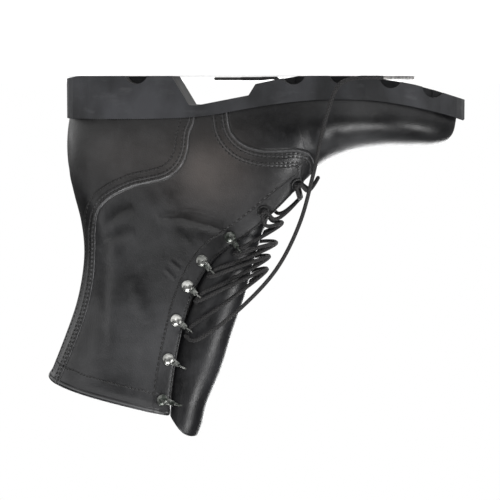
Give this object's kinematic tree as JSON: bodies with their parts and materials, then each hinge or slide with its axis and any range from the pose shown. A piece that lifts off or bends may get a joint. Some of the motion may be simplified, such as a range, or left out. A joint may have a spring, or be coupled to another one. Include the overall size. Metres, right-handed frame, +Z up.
{
  "type": "combat boot",
  "caption": "Left leather lace-up combat boot, ankle-high and hollow, with a lugged rubber sole, a broad tongue, eyelets and lacing rings, and loosely laced.",
  "frame": {"origin": "on the floor under the middle of the heel's tread", "axes": "+X from heel to toe, +Y to the boot's outer side, which is the wearer's left, +Z up from the floor"},
  "size_m": [0.322, 0.1717, 0.2792],
  "materials": {
    "rubber": "matt black moulded rubber",
    "leather": "black smooth leather with a soft sheen",
    "board": "dark lining board",
    "metal": "nickel, worn",
    "black_metal": "black lacquer",
    "lace": "black braided cord"
  },
  "bodies": {
    "root": {"outsole": "rubber", "insole": "board", "upper": "leather", "tongue": "leather", "lace_crossings": "lace", "lace_end_lateral": "lace", "lace_tip_lateral": "lace", "lace_end_medial": "lace", "lace_tip_medial": "lace", "eyelet_lateral_1": "black_metal", "eyelet_lateral_2": "black_metal", "lace_ring_lateral_1": "metal", "lace_ring_lateral_2": "metal", "lace_ring_lateral_3": "metal", "lace_ring_lateral_4": "metal", "lace_ring_lateral_5": "metal", "lace_ring_lateral_6": "metal", "eyelet_medial_1": "black_metal", "eyelet_medial_2": "black_metal", "lace_ring_medial_1": "metal", "lace_ring_medial_2": "metal", "lace_ring_medial_3": "metal", "lace_ring_medial_4": "metal", "lace_ring_medial_5": "metal", "lace_ring_medial_6": "metal"}
  },
  "joints": []
}
